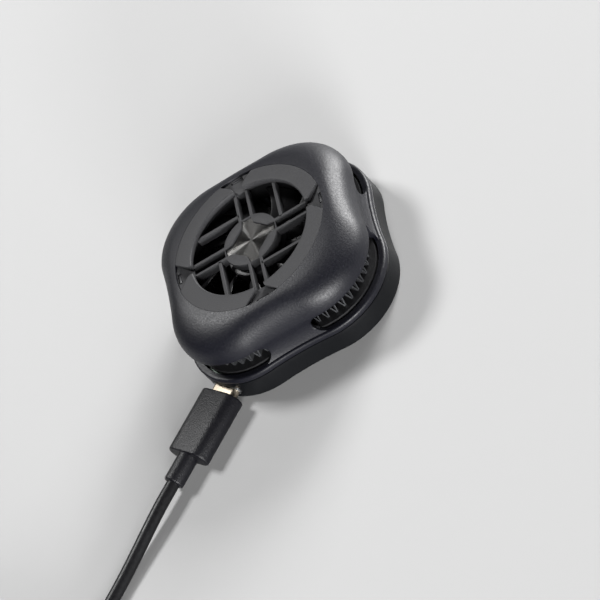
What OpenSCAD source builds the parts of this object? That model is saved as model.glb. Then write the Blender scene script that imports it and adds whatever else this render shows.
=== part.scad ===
// Magnetic phone cooling fan: a four-lobed housing with an intake grille on top,
// folded fins behind four exhaust slots, a thermoelectric cooler, and a supply lead.
// Origin at the middle of the underside, +Z along the fan axis, the lead leaves along -Y.

/* [Housing] */
// Radius of each lobe's round end, seen from above
lobe_radius = 18; // [16.5:0.5:19.5]
// Radius of the hollow waists between the lobes
waist_radius = 80; // [60:1:110]
// Thickness of the moulded walls
wall = 1.6; // [1.3:0.1:1.9]
// Depth of the groove that runs round the cover
groove_depth = 1.9; // [1.5:0.1:2.3]
// Thickness of the wall at the bottom of the groove
groove_wall = 1.0; // [0.8:0.1:1.2]
// How far the dome's lower edge stands in from the base
edge_inset = 0.8; // [0.5:0.1:1.2]
// Rounding on the cover's lip above the seam
lip_round = 0.6; // [0.4:0.1:0.8]
// Gap that shows as the seam between cover and base
seam_gap = 0.15; // [0.1:0.05:0.3]
// Radius of the screw posts inside the cover
post_r = 2.2; // [1.8:0.1:2.6]

/* [Intake face] */
// Radius of the intake opening
intake_r = 17; // [15:0.1:17.5]
// Radius of the face plate
face_r = 21.75; // [21.5:0.05:22.2]
// Rise of the face from its rim to the opening
face_crown = 0.3; // [0.1:0.05:0.6]
// How far the grille lies below the opening's edge
grille_recess = 1.2; // [0.8:0.1:1.6]
// Height of the grille's rails and ribs
rail_h = 2.2; // [1.8:0.1:2.8]
// Thickness of each rail
rail_t = 0.8; // [0.6:0.1:1.1]
// Width of the channel between an arm's two rails
channel_w = 2.6; // [2.2:0.1:3]
// Thickness of the single ribs
rib_t = 0.9; // [0.7:0.1:1.2]
// Distance along an arm where a single rib leaves it
rib_at = 9.5; // [8.6:0.1:11]
// Radius of the grille's hub
hub_r = 7.8; // [7.2:0.1:8.4]
// Distance from the axis to the flat inner side of each hub petal
petal_chord = 4.8; // [4.2:0.1:5.4]
// Half the width of a notch where it meets the face plate's rim
notch_half = 4.9; // [4:0.1:5.5]

/* [Exhaust slots] */
// Height of the slots
slot_h = 5.9; // [5.2:0.1:6.4]
// Half the turn of a slot about its lobe's centre, to the middle of its round end
slot_turn = 50; // [42:1:51]
// Turn of each slot's middle from its lobe's middle
slot_shift = 10; // [0:1:11]

/* [Fan] */
// Radius over the blade tips
fan_r = 19; // [18:0.1:20]
// Number of blades
blade_count = 9; // [7:1:11]
// Height of the blades along the axis
blade_h = 6.6; // [5:0.1:8]
// Thickness of a blade at its middle
blade_t = 0.8; // [0.6:0.1:1.1]
// Clearance between blade tips and shroud
tip_clear = 0.6; // [0.4:0.1:0.9]
// Wall of the duct ring round the blades
shroud_wall = 1.2; // [0.9:0.1:1.4]
// Outer radius of the rotor's steel cup
yoke_r = 7.6; // [7.2:0.1:8]
// Radius of the motor's shaft
shaft_r = 1; // [0.8:0.05:1.2]
// Running clearance of the shaft in its bush
shaft_clear = 0.03; // [0.02:0.01:0.08]

/* [Cooler stack] */
// Thickness of the silicone contact pad
pad_t = 0.8; // [0.6:0.1:1.2]
// Thickness of the base's floor
floor_t = 1.4; // [1.2:0.1:1.8]
// Radius of the cold plate's contact face
cold_r = 19; // [17.5:0.1:20]
// Thickness of the cold plate's flange
flange_t = 1; // [0.8:0.1:1.4]
// Side of the square thermoelectric cooler
tec_w = 24; // [20:0.5:25]
// Thickness of each ceramic plate
ceramic_t = 0.7; // [0.5:0.1:1]
// Height of the semiconductor pellets
pellet_h = 1.6; // [1.4:0.1:2]
// Pellets along each side of the cooler
pellet_rows = 8; // [6:1:10]
// Thickness of the thermal pad
tim_t = 0.3; // [0.2:0.05:0.5]
// Thickness of the heat sink's plate
sink_t = 2; // [1.6:0.1:2.6]
// Height of the folded fins
fin_h = 5.1; // [4.5:0.1:5.3]
// Thickness of the fin sheet
fin_t = 0.3; // [0.25:0.05:0.4]
// Turn of one half fold about the fan axis
fin_step = 2.5; // [2.3:0.1:3.2]
// How far the fins stand back from the shroud's edge
fin_set_back = 1.2; // [0.5:0.1:2]
// Thickness of the holding magnets
magnet_t = 2; // [1.5:0.1:2.1]
// Radial width of the holding magnets
magnet_w = 3.4; // [2.8:0.1:4]

/* [Supply plug] */
// Width of the socket's shell
socket_w = 8.94; // [8.8:0.02:9.2]
// Height of the socket's shell
socket_h = 3.16; // [3:0.02:3.3]
// Thickness of the socket's and the plug's sheet metal
shell_t = 0.27; // [0.2:0.01:0.3]
// Sliding clearance of the plug in the socket, on each side
plug_clear = 0.08; // [0.05:0.01:0.12]
// Height of the socket's middle above the underside
port_z = 3.3; // [3.2:0.05:3.5]
// Length of plug shell that shows between housing and overmould
plug_show = 1.9; // [1.5:0.1:2.5]
// Width of the overmould
mould_w = 12.6; // [11.5:0.1:13.5]
// Height of the overmould
mould_h = 6.2; // [5.6:0.1:6.4]
// Length of the overmould
mould_len = 18; // [14:0.5:24]
// Outer diameter of the strain relief
relief_d = 5.2; // [4.6:0.1:5.8]
// Length of the strain relief
relief_len = 7.7; // [6:0.1:10]
// Diameter of the lead
lead_d = 3.4; // [3:0.1:3.6]

/* [Hidden] */
$fn = 64;

// Fits and small gaps
seat_clear = 0.1;
side_clear = 0.3;
post_gap = 0.6;
post_cover = 0.5;
floor_clear = 0.3;
fan_clear = 1;
glue_gap = 0.03;

// Heights, from the underside up
floor_z = pad_t + floor_t;
tec_z = floor_z + flange_t;
pellet_z = tec_z + ceramic_t;
hot_z = pellet_z + pellet_h;
tim_z = hot_z + ceramic_t;
sink_z = tim_z + tim_t;
deck_z = sink_z + sink_t;
base_drop = 0.2;
base_h = sink_z - base_drop;
seam_z = base_h + seam_gap;
lip_drop = 0.4;
lip_z = deck_z - lip_drop;
slot_trim = 0.1;
slot_z = lip_z - slot_trim;
edge_rise = 0.3;
edge_z = slot_z + slot_h + edge_rise;
fin_top = deck_z + fin_h;
mount_t = 1;
motor_board_z = deck_z + mount_t;
motor_board_t = 0.8;
rotor_clear = 0.8;
rotor_z = motor_board_z + motor_board_t + rotor_clear;
blade_lift = 0.9;
blade_z = rotor_z + blade_lift;
blade_top = blade_z + blade_h;
grille_z = blade_top + fan_clear;
grille_top = grille_z + rail_h;
face_z = grille_top + grille_recess;
crease_z = face_z - face_crown;
ledge_t = 1.2;
seat_z = grille_z + ledge_t;

// Outline: lobes on the X and Y axes, hollow waists on the diagonals
crease_r = face_r + seat_clear;
shroud_r = fan_r + tip_clear;
shroud_out = shroud_r + shroud_wall;
screw_at = shroud_out + post_gap + post_r;
waist_reach = screw_at + post_r + groove_depth + post_cover;
waist_at = waist_reach + waist_radius;
lobe_at = (sqrt(2) * waist_at - sqrt(4 * pow(lobe_radius + waist_radius, 2) - 2 * pow(waist_at, 2))) / 2;
lobe_reach = lobe_at + lobe_radius;
lobe_turn = atan2(waist_at / sqrt(2), waist_at / sqrt(2) - lobe_at);
outline_steps = 72;

function tangent_angle(inset) = atan2((lobe_radius - inset) * sin(lobe_turn),
    lobe_at + (lobe_radius - inset) * cos(lobe_turn));

function outline_r(angle, inset) =
    let (t = abs(angle - 90 * round(angle / 90)), s = 45 - t)
    t < tangent_angle(inset)
        ? lobe_at * cos(t) + sqrt(pow(lobe_radius - inset, 2) - pow(lobe_at * sin(t), 2))
        : waist_at * cos(s) - sqrt(pow(waist_radius + inset, 2) - pow(waist_at * sin(s), 2));

function step_angles() = [for (i = [0 : outline_steps - 1]) i * 360 / outline_steps];
function outline(inset) = [for (a = step_angles()) outline_r(a, inset) * [cos(a), sin(a)]];
function lobed_ring(inset, z) = [for (p = outline(inset)) [p[0], p[1], z]];
function round_ring(r, z) = [for (a = step_angles()) [r * cos(a), r * sin(a), z]];

// Dome: at turn t it stands between a circle (t = 0) and the lobed edge (t = 90)
dome_bulge = 1.2;
dome_fullness = 0.75;
function dome_ring(t, top_r, top_z, inset) = [for (a = step_angles())
    let (r = top_r + (outline_r(a, inset) - top_r) * pow(sin(t), dome_bulge))
    [r * cos(a), r * sin(a), edge_z + (top_z - edge_z) * pow(cos(t), dome_fullness)]];

// Solid between rings that close on themselves, as a ring-shaped shell does
module loft_loop(rings) {
    n = len(rings);
    m = len(rings[0]);
    function at(i, j) = (i % n) * m + j % m;
    polyhedron(
        points = [for (ring = rings) each ring],
        faces = [for (i = [0 : n - 1], j = [0 : m - 1])
            each [[at(i, j), at(i + 1, j + 1), at(i, j + 1)],
                [at(i, j), at(i + 1, j), at(i + 1, j + 1)]]]);
}

// Solid along a row of rings, closed at both ends
module loft_tube(rings) {
    n = len(rings);
    m = len(rings[0]);
    function at(i, j) = i * m + j % m;
    polyhedron(
        points = [for (ring = rings) each ring],
        faces = concat(
            [for (i = [0 : n - 2], j = [0 : m - 1])
                each [[at(i, j), at(i, j + 1), at(i + 1, j + 1)],
                    [at(i, j), at(i + 1, j + 1), at(i + 1, j)]]],
            [for (j = [1 : m - 2]) [at(0, 0), at(0, j + 1), at(0, j)]],
            [for (j = [1 : m - 2]) [at(n - 1, 0), at(n - 1, j), at(n - 1, j + 1)]]));
}

// Round tube of the given radius along a path, its rings square to the path
function unit(v) = v / norm(v);
function path_turn(path, i) = unit(path[min(i + 1, len(path) - 1)] - path[max(i - 1, 0)]);
function tube_ring(p, along, r, sides) =
    let (side = unit(cross(along, [0, 0, 1])), up = cross(side, along))
    [for (j = [0 : sides - 1]) p + r * (cos(j * 360 / sides) * side + sin(j * 360 / sides) * up)];
module tube_along(path, r, sides) {
    loft_tube([for (i = [0 : len(path) - 1]) tube_ring(path[i], path_turn(path, i), r, sides)]);
}

module slab(inset, z0, z1) {
    translate([0, 0, z0]) linear_extrude(z1 - z0) polygon(outline(inset));
}

module disc(r, z0, z1) {
    translate([0, 0, z0]) cylinder(r = r, h = z1 - z0);
}

module on_diagonals(r) {
    for (k = [0 : 3]) rotate(45 + 90 * k) translate([r, 0, 0]) children();
}

module on_lobes() {
    for (k = [0 : 3]) rotate(90 * k) children();
}

// Oval with round ends, as on a supply socket
oval_steps = 10;
function oval(w, h) = [for (side = [0, 1], i = [0 : oval_steps])
    let (a = -90 + 180 * side + 180 * i / oval_steps, x = (w - h) / 2 * (1 - 2 * side))
    [x + h / 2 * cos(a), h / 2 * sin(a)]];
module oval_along(w, h, y0, y1, z) {
    translate([0, y1, z]) rotate([90, 0, 0]) linear_extrude(y1 - y0) polygon(oval(w, h));
}

// Base and what sits in it
foot_chamfer = 0.5;
foot_lift = 0.3;
seam_chamfer = 0.25;
pad_inset = 1.2;
cold_hole = cold_r + 0.15;
boss_r = post_r + 0.2;
screw_r = 1;
screw_head_r = 1.9;
screw_head_t = 1.4;
screw_grip = 6;
magnet_clear = 0.2;
socket_gap = 0.3;
magnet_out = waist_reach - wall - magnet_clear;
magnet_in = magnet_out - magnet_w;
socket_len = 6.35;
socket_front = lobe_reach - socket_gap;
socket_back = max(socket_front - socket_len, magnet_out + magnet_clear);
board_z = port_z + socket_h / 2;
board_t = 0.8;
board_w = 22;
board_in = tec_w / 2 + 1.6;
board_inset = wall + 0.6;
board_post_r = 1.3;
board_post_x = 9;
board_post_at = [board_post_x, -(magnet_out + board_post_r + magnet_clear)];

module base_housing() {
    color("#17181a") difference() {
        union() {
            loft_loop([
                lobed_ring(foot_chamfer, foot_lift),
                lobed_ring(0, foot_lift + foot_chamfer),
                lobed_ring(0, base_h - seam_chamfer),
                lobed_ring(seam_chamfer, base_h),
                lobed_ring(wall, base_h),
                lobed_ring(wall, floor_z),
                round_ring(cold_hole, floor_z),
                round_ring(cold_hole, pad_t),
                lobed_ring(pad_inset - seat_clear, pad_t),
                lobed_ring(pad_inset - seat_clear, foot_lift)]);
            on_diagonals(screw_at) disc(boss_r, pad_t + floor_t / 2, sink_z);
            for (side = [-1, 1])
                translate([side * board_post_at[0], board_post_at[1], 0])
                    disc(board_post_r, pad_t + floor_t / 2, board_z);
        }
        on_diagonals(screw_at) {
            disc(screw_r + seat_clear, 0, sink_z + 1);
            disc(screw_head_r + seat_clear, 0, pad_t + screw_head_t + seat_clear);
        }
        oval_along(socket_w + 2 * seat_clear, socket_h + 2 * seat_clear,
            -lobe_reach - 1, -socket_back + seat_clear, port_z);
    }
}

module contact_pad() {
    color("#2b2c2e") difference() {
        slab(pad_inset, 0, pad_t);
        disc(cold_hole, -1, pad_t + 1);
    }
}

flange_r = cold_r + 1.5;
module cold_plate() {
    color("#c9ccd0") {
        disc(cold_r, 0, floor_z);
        disc(flange_r, floor_z, tec_z);
    }
}

magnets_per_group = 4;
group_margin = 9;
magnet_gap = 0.8;
magnet_turn = (90 - 2 * group_margin) / magnets_per_group;
module magnet_ring() {
    color("#9a9da2") on_lobes() for (i = [0 : magnets_per_group - 1])
        rotate(group_margin - 45 + i * magnet_turn + magnet_gap / 2)
            translate([0, 0, floor_z])
                rotate_extrude(angle = magnet_turn - magnet_gap)
                    translate([magnet_in, 0]) square([magnet_w, magnet_t]);
}

shield_t = 0.4;
module magnet_shield() {
    color("#6d7075") on_lobes() rotate(group_margin - 45) translate([0, 0, floor_z + magnet_t])
        rotate_extrude(angle = 90 - 2 * group_margin)
            translate([magnet_in, 0]) square([magnet_w, shield_t]);
}

gasket_w = 0.9;
gasket_in = tec_w / 2 + side_clear;
gasket_out = gasket_in + gasket_w;
wire_r = 0.5;
tec_wire_x = 4;
tec_wire_z = board_z - wire_r - glue_gap;
tec_wire_in = tec_w / 2 - 0.6;
tec_wire_out = board_in + 4;
module square_slab(side, z0, z1) {
    translate([-side / 2, -side / 2, z0]) cube([side, side, z1 - z0]);
}
module tec_wires(r, grow) {
    for (side = [-1, 1])
        translate([side * tec_wire_x, -tec_wire_in + grow, tec_wire_z]) rotate([90, 0, 0])
            cylinder(r = r, h = tec_wire_out - tec_wire_in + grow);
}
module foam_gasket() {
    color("#3a3b3d") difference() {
        square_slab(2 * gasket_out, tec_z, sink_z);
        square_slab(2 * gasket_in, tec_z - 1, sink_z + 1);
        tec_wires(wire_r + seat_clear, seat_clear);
    }
}

module peltier_cold() {
    color("#e9e7df") square_slab(tec_w, tec_z, pellet_z);
}
module peltier_hot() {
    color("#e9e7df") square_slab(tec_w, hot_z, tim_z);
}

pellet_margin = 1.4;
pellet_w = 1.4;
module peltier_pellets() {
    reach = tec_w / 2 - pellet_margin - pellet_w / 2;
    pitch = 2 * reach / (pellet_rows - 1);
    color("#77797c") for (i = [0 : pellet_rows - 1], j = [0 : pellet_rows - 1])
        translate([i * pitch - reach - pellet_w / 2, j * pitch - reach - pellet_w / 2, pellet_z])
            cube([pellet_w, pellet_w, pellet_h]);
}

module peltier_leads() {
    color("#8e1f1c") tec_wires(wire_r, 0);
}

module thermal_pad() {
    color("#9fb0c4") square_slab(tec_w, tim_z, sink_z);
}

sink_inset = wall + 0.8;
lead_hole_r = 2;
fan_wire_at = [0.9, -(board_in + 1.2)];
fan_wire_r = 0.45;
motor_screw_at = 11.2;
motor_screw_r = 0.7;
motor_screw_in = 1.4;
module at_motor_screws() {
    for (k = [0 : 2]) rotate(90 + 120 * k) translate([motor_screw_at, 0, 0]) children();
}
module heat_sink() {
    color("#1f2022") difference() {
        slab(sink_inset, sink_z, deck_z);
        on_diagonals(screw_at) disc(screw_r + seat_clear, sink_z - 1, deck_z + 1);
        translate([0, fan_wire_at[1], 0]) disc(lead_hole_r, sink_z - 1, deck_z + 1);
        at_motor_screws() disc(motor_screw_r, deck_z - motor_screw_in, deck_z + 1);
    }
}

// Folded fins: one sheet per lobe, folded up and down between plate and shroud
flange_inset = groove_depth + groove_wall + 0.2;
fin_inset = flange_inset + fin_set_back;
fin_in = shroud_r;
fin_crest = 0.7;
fin_half_turn = 34;
fin_folds = 2 * floor(fin_half_turn / fin_step);
function fin_turn(mm) = mm / lobe_reach * 180 / PI;
function fin_corner(angle, r, z) = [r * cos(angle), r * sin(angle), z];
function fin_station(i, side) =
    let (
        high = i % 2 == 1,
        edge = (i - fin_folds / 2) * fin_step + side * fin_turn(fin_crest / 2),
        inner = edge - side * fin_turn(fin_t),
        low_a = high ? inner : edge,
        top_a = high ? edge : inner,
        low_z = high ? fin_top - fin_t : deck_z,
        top_z = low_z + fin_t)
    [fin_corner(low_a, fin_in, low_z), fin_corner(low_a, outline_r(low_a, fin_inset), low_z),
     fin_corner(top_a, outline_r(top_a, fin_inset), top_z), fin_corner(top_a, fin_in, top_z)];
module fin_packs() {
    color("#141516") on_lobes()
        loft_tube([for (i = [0 : fin_folds], side = [-1, 1]) fin_station(i, side)]);
}

// Supply electronics beside the cooler
module control_board() {
    color("#1d4a2e") intersection() {
        translate([-board_w / 2, -lobe_reach, board_z]) cube([board_w, lobe_reach - board_in, board_t]);
        slab(board_inset, board_z - 1, board_z + board_t + 1);
    }
}

chip_w = 5;
chip_t = 0.7;
coil_w = 4;
coil_t = 1.3;
coil_x = 8;
cap_long = 1.6;
cap_wide = 0.8;
cap_t = 0.6;
cap_x = 6;
cap_pitch = 2;
caps = 4;
module board_components() {
    top = board_z + board_t;
    mid = -(board_in + socket_back) / 2;
    color("#232427") {
        translate([-chip_w / 2, mid - chip_w / 2, top]) cube([chip_w, chip_w, chip_t]);
        for (side = [-1, 1]) {
            translate([side * coil_x - coil_w / 2, mid, board_z - coil_t]) cube([coil_w, coil_w, coil_t]);
            for (i = [0 : caps - 1])
                translate([side * cap_x - cap_long / 2, mid + (i - caps / 2) * cap_pitch, top])
                    cube([cap_long, cap_wide, cap_t]);
        }
    }
}

tongue_w = 6.69;
tongue_t = 0.7;
tongue_len = 4.4;
socket_back_t = 0.8;
module usb_socket_shell() {
    color("#b9bbbf") difference() {
        oval_along(socket_w, socket_h, -socket_front, -socket_back, port_z);
        oval_along(socket_w - 2 * shell_t, socket_h - 2 * shell_t,
            -socket_front - 1, -socket_back - socket_back_t, port_z);
    }
}
module usb_socket_tongue() {
    y1 = -socket_back - socket_back_t;
    color("#1a1a1c") translate([-tongue_w / 2, y1 - tongue_len, port_z - tongue_t / 2])
        cube([tongue_w, tongue_len, tongue_t]);
}

module fan_leads() {
    color("#b0231f") for (side = [-1, 1])
        translate([side * fan_wire_at[0], fan_wire_at[1], 0])
            disc(fan_wire_r, board_z + board_t, motor_board_z);
}

// Motor: the bush stands in a tube on the mount, the rotor's cup turns round the stator
bush_r = shaft_r + 1.4;
tube_r = bush_r + 1;
thrust_t = 0.8;
bush_z = deck_z + thrust_t;
bush_top = blade_top - 2.6;
core_z = rotor_z + 0.9;
core_t = 2.6;
core_r = yoke_r - 1.8;
tooth_w = 1.6;
tooth_head_t = 0.7;
teeth = 6;
mount_r = yoke_r + 1.9;
ear_r = 1.9;
module motor_mount() {
    color("#202124") difference() {
        union() {
            disc(mount_r, deck_z, motor_board_z);
            at_motor_screws() disc(ear_r, deck_z, motor_board_z);
            at_motor_screws() translate([-motor_screw_at + mount_r - 1, -ear_r, deck_z])
                cube([motor_screw_at - mount_r + 1, 2 * ear_r, mount_t]);
            disc(tube_r, deck_z, bush_top - 0.2);
            disc(tube_r + 0.5, deck_z, core_z);
        }
        disc(bush_r, bush_z, bush_top + 1);
        at_motor_screws() disc(motor_screw_r + seat_clear, deck_z - 1, motor_board_z + 1);
    }
}

motor_head_r = 1.3;
motor_head_t = 0.7;
module motor_screws() {
    color("#a9abb0") at_motor_screws() {
        disc(motor_screw_r, deck_z - motor_screw_in, motor_board_z);
        disc(motor_head_r, motor_board_z, motor_board_z + motor_head_t);
    }
}

tail_w = 4.4;
module motor_board() {
    color("#1d4a2e") difference() {
        union() {
            disc(yoke_r, motor_board_z, motor_board_z + motor_board_t);
            translate([-tail_w / 2, fan_wire_at[1] - 1, motor_board_z])
                cube([tail_w, -fan_wire_at[1] + 1, motor_board_t]);
        }
        disc(tube_r + 0.5 + seat_clear, motor_board_z - 1, rotor_z);
    }
}

module bearing_bush() {
    color("#b58a4a") difference() {
        disc(bush_r, bush_z, bush_top);
        disc(shaft_r + shaft_clear, bush_z - 1, bush_top + 1);
    }
}

module stator_core() {
    color("#5d6066") difference() {
        union() {
            disc(tube_r + 0.9, core_z, core_z + core_t);
            intersection() {
                disc(core_r, core_z, core_z + core_t);
                for (k = [0 : teeth - 1]) rotate(k * 360 / teeth) {
                    translate([0, -tooth_w / 2, core_z]) cube([core_r + 1, tooth_w, core_t]);
                    translate([core_r - tooth_head_t, -tooth_w, core_z]) cube([2, 2 * tooth_w, core_t]);
                }
            }
        }
        disc(tube_r, core_z - 1, core_z + core_t + 1);
    }
}

winding_t = 0.35;
module stator_coils() {
    inner = tube_r + 0.9;
    long = core_r - tooth_head_t - inner - 2 * glue_gap;
    color("#b4652d") for (k = [0 : teeth - 1]) rotate(k * 360 / teeth)
        translate([inner + glue_gap + 0.1, 0, core_z + core_t / 2]) difference() {
            translate([0, -tooth_w / 2 - winding_t, -core_t / 2 - winding_t])
                cube([long - 0.1, tooth_w + 2 * winding_t, core_t + 2 * winding_t]);
            translate([-1, -tooth_w / 2, -core_t / 2]) cube([long + 2, tooth_w, core_t]);
        }
}

// Rotor
yoke_t = 0.6;
yoke_top = blade_top - 1.05;
yoke_lid = 0.8;
rotor_magnet_t = 0.8;
shaft_lift = 0.1;
module motor_shaft() {
    color("#c4c6ca") disc(shaft_r, bush_z + shaft_lift, yoke_top - glue_gap);
}
module rotor_yoke() {
    color("#8a8d92") difference() {
        disc(yoke_r, rotor_z, yoke_top);
        disc(yoke_r - yoke_t, rotor_z - 1, yoke_top - yoke_lid);
        disc(shaft_r, rotor_z, yoke_top + 1);
    }
}
module rotor_magnet() {
    r = yoke_r - yoke_t - glue_gap;
    color("#3d3e41") difference() {
        disc(r, rotor_z + 0.2, yoke_top - yoke_lid - 0.4);
        disc(r - rotor_magnet_t, rotor_z - 1, yoke_top);
    }
}

impeller_wall = 1.05;
impeller_r = yoke_r + glue_gap + impeller_wall;
blade_sweep = 24;
blade_stations = 5;
root_chord = 7.4;
tip_chord = 10.2;
blade_root = impeller_r - impeller_wall / 2;
function blade_ring(f) =
    let (
        r = blade_root + (fan_r - blade_root) * f,
        chord = root_chord + (tip_chord - root_chord) * f,
        rise = (blade_h - blade_t) * (1 - 0.22 * f),
        run = sqrt(pow(chord, 2) - pow(rise * 0.8, 2)),
        front = [-0.5, 0, -0.5],
        back = [0.5, 0, 0.5],
        upper = [[-0.2, 0.5, -0.12], [0.2, 0.5, 0.26]],
        lower = [[0.2, -0.5, 0.26], [-0.2, -0.5, -0.12]])
    [for (s = concat([front], upper, [back], lower))
        let (a = blade_sweep * f + s[0] * run / r * 180 / PI)
        [r * cos(a), r * sin(a), blade_z + blade_h / 2 + s[2] * rise + s[1] * blade_t]];
module impeller() {
    color("#101113") {
        rotate_extrude() difference() {
            translate([0, rotor_z]) square([impeller_r, blade_top - rotor_z]);
            translate([-1, rotor_z - 1]) square([yoke_r + glue_gap + 1, yoke_top + glue_gap - rotor_z + 1]);
        }
        for (k = [0 : blade_count - 1]) rotate(k * 360 / blade_count)
            loft_tube([for (i = [0 : blade_stations]) blade_ring(i / blade_stations)]);
    }
}

shroud_flange_t = 0.8;
shroud_top = grille_z - 0.2;
module fan_shroud() {
    color("#1b1c1e") difference() {
        union() {
            slab(flange_inset, fin_top, fin_top + shroud_flange_t);
            disc(shroud_out, fin_top, shroud_top);
        }
        disc(shroud_r, fin_top - 1, shroud_top + 1);
        on_diagonals(screw_at) disc(post_r + side_clear, fin_top - 1, shroud_top + 1);
    }
}

// Cover: lip, groove and dome outside, seat for the face plate on top, even wall inside
lip_turns = [0, 40, 90];
groove_shares = [0.12, 0.28, 0.5, 0.72, 0.88];
groove_shape = 0.8;
dome_turns = [84, 76, 66, 55, 44, 33, 22, 11];
inner_turns = [0, 22, 42, 58, 72, 84];
ledge_r = crease_r - 1.9;
ledge_out = crease_r + 0.7;
slot_end_relief = 0.06;
post_bury = 0.3;
pilot_r = screw_r + 0.02;
function groove_inset(f) = edge_inset + (groove_depth - edge_inset) * pow(sin(180 * f), groove_shape);
function cover_rings() = concat(
    [lobed_ring(seam_chamfer, seam_z), lobed_ring(0, seam_z + seam_chamfer)],
    [for (t = lip_turns) lobed_ring(lip_round * (1 - cos(t)), lip_z - lip_round * (1 - sin(t)))],
    [for (f = groove_shares) lobed_ring(groove_inset(f), lip_z + (edge_z - lip_z) * f)],
    [lobed_ring(edge_inset, edge_z)],
    [for (t = dome_turns) dome_ring(t, crease_r, crease_z, edge_inset)],
    [round_ring(crease_r, crease_z), round_ring(crease_r, seat_z), round_ring(ledge_r, seat_z)],
    [round_ring(ledge_r, grille_z), round_ring(ledge_out, grille_z)],
    [for (t = inner_turns) dome_ring(t, ledge_out, crease_z - wall, edge_inset + wall)],
    [lobed_ring(edge_inset + wall, edge_z)],
    [lobed_ring(groove_depth + groove_wall, (lip_z + edge_z) / 2)],
    [lobed_ring(groove_depth + groove_wall, deck_z + 0.2)],
    [lobed_ring(wall + 0.2, deck_z + 0.2), lobed_ring(wall + 0.2, seam_z)]);

module slot_cut() {
    mid_z = slot_z + slot_h / 2;
    deep = flange_inset + 1;
    out = 2;
    translate([lobe_at, 0, 0]) rotate(slot_shift) {
        translate([0, 0, slot_z]) rotate(-slot_turn) rotate_extrude(angle = 2 * slot_turn)
            translate([lobe_radius - deep, 0]) square([deep + out, slot_h]);
        for (side = [-1, 1])
            translate([0, 0, mid_z]) rotate(side * slot_turn) rotate([0, 90, 0])
                translate([0, 0, lobe_radius - deep])
                    cylinder(r = slot_h / 2 + slot_end_relief, h = deep + out);
    }
}

// Small hook on the seat, which stands in a window of the face plate
hook_gap = 0.15;
hook_side = 0.3;
hook_t = 0.5;
hook_h = 1.1;
module snap_hook() {
    half = window_half - hook_side;
    translate([0, -half, seat_z - ledge_t / 2]) cube([hook_t, 2 * half, hook_h + ledge_t / 2]);
}

module top_cover() {
    color("#202124") difference() {
        union() {
            loft_loop(cover_rings());
            on_diagonals(screw_at) disc(post_r, deck_z, grille_z + post_bury);
            on_diagonals(window_in + hook_gap) snap_hook();
        }
        on_lobes() slot_cut();
        on_diagonals(screw_at) disc(pilot_r, deck_z - 1, deck_z + screw_grip + 0.5);
    }
}

// Face plate: crowned ring, four channelled arms, four ribs set as a pinwheel, hub petals
skirt_r = ledge_r - 0.5;
opening_break = 0.4;
rim_drop = 0.05;
arm_hold = 0.6;
hub_floor_t = 0.9;
badge_t = 0.8;
badge_tip = hub_r - 0.5;
badge_clear = 0.08;
channel_in = badge_tip + 0.3;
notch_neck = 18.2;
neck_half = channel_w / 2 + 0.2;
notch_brim = 0.2;
ramp_foot = 1.6;
ramp_drop = 0.3;
ramp_hollow = 1.2;
ramp_start = intake_r - 0.5;
ramp_steps = 6;
window_half = 1.75;
window_depth = 0.9;
window_in = face_r - 0.25 - window_depth;
rail_out = channel_w / 2 + rail_t;
star_corner = petal_chord / 2;
function star(grow) =
    let (
        tip = badge_tip + grow,
        half = channel_w / 2 - badge_clear + grow,
        quarter = [
            [petal_chord + grow, -star_corner], [petal_chord + grow, star_corner],
            [(tip + half) / sqrt(2), (tip - half) / sqrt(2)],
            [(tip - half) / sqrt(2), (tip + half) / sqrt(2)]])
    [for (k = [0 : 3], p = quarter)
        [p[0] * cos(90 * k) - p[1] * sin(90 * k), p[0] * sin(90 * k) + p[1] * cos(90 * k)]];

function notch_side(y) = [
    [intake_r - 1, y * channel_w / 2], [notch_neck, y * neck_half],
    [face_r - notch_brim, y * notch_half], [face_r + 1, y * notch_half]];
function ramp_line() =
    let (low = grille_z + ramp_foot, high = crease_z - ramp_drop)
    [for (i = [0 : ramp_steps])
        let (f = i / ramp_steps)
        [ramp_start + (face_r + 1 - ramp_start) * f, low + (high - low) * pow(f, ramp_hollow)]];
module notch_cut() {
    above = face_z + 1;
    intersection() {
        translate([0, 0, grille_z]) linear_extrude(above - grille_z)
            polygon(concat(notch_side(-1), [for (i = [3 : -1 : 0]) notch_side(1)[i]]));
        rotate([90, 0, 0]) translate([0, 0, -notch_half - 1]) linear_extrude(2 * notch_half + 2)
            polygon(concat(ramp_line(), [[face_r + 1, above + 1], [ramp_start, above + 1]]));
    }
    translate([window_in, -window_half, seat_z - 1]) cube([window_depth, 2 * window_half, face_z]);
}

module grille_plate() {
    color("#35363a") difference() {
        union() {
            rotate_extrude() polygon([
                [intake_r, grille_z], [skirt_r, grille_z], [skirt_r, seat_z],
                [face_r, seat_z], [face_r, crease_z - rim_drop],
                [intake_r + opening_break, face_z], [intake_r, face_z - opening_break]]);
            disc(hub_r, grille_z, grille_top);
            for (k = [0 : 3]) rotate(45 + 90 * k) {
                translate([0, -rail_out, grille_z]) cube([intake_r + arm_hold, 2 * rail_out, rail_h]);
                intersection() {
                    translate([rib_at - rib_t / 2, 0, grille_z]) cube([rib_t, intake_r + 1, rail_h]);
                    disc(intake_r + arm_hold, grille_z, grille_top);
                }
            }
        }
        for (k = [0 : 3]) rotate(45 + 90 * k) {
            translate([channel_in, -channel_w / 2, grille_z - 1])
                cube([intake_r - channel_in, channel_w, rail_h + 2]);
            notch_cut();
        }
        translate([0, 0, grille_z + hub_floor_t]) linear_extrude(rail_h) polygon(star(badge_clear));
    }
}

module hub_badge() {
    color("#8f8a84") translate([0, 0, grille_z + hub_floor_t]) linear_extrude(badge_t) polygon(star(0));
}

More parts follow.
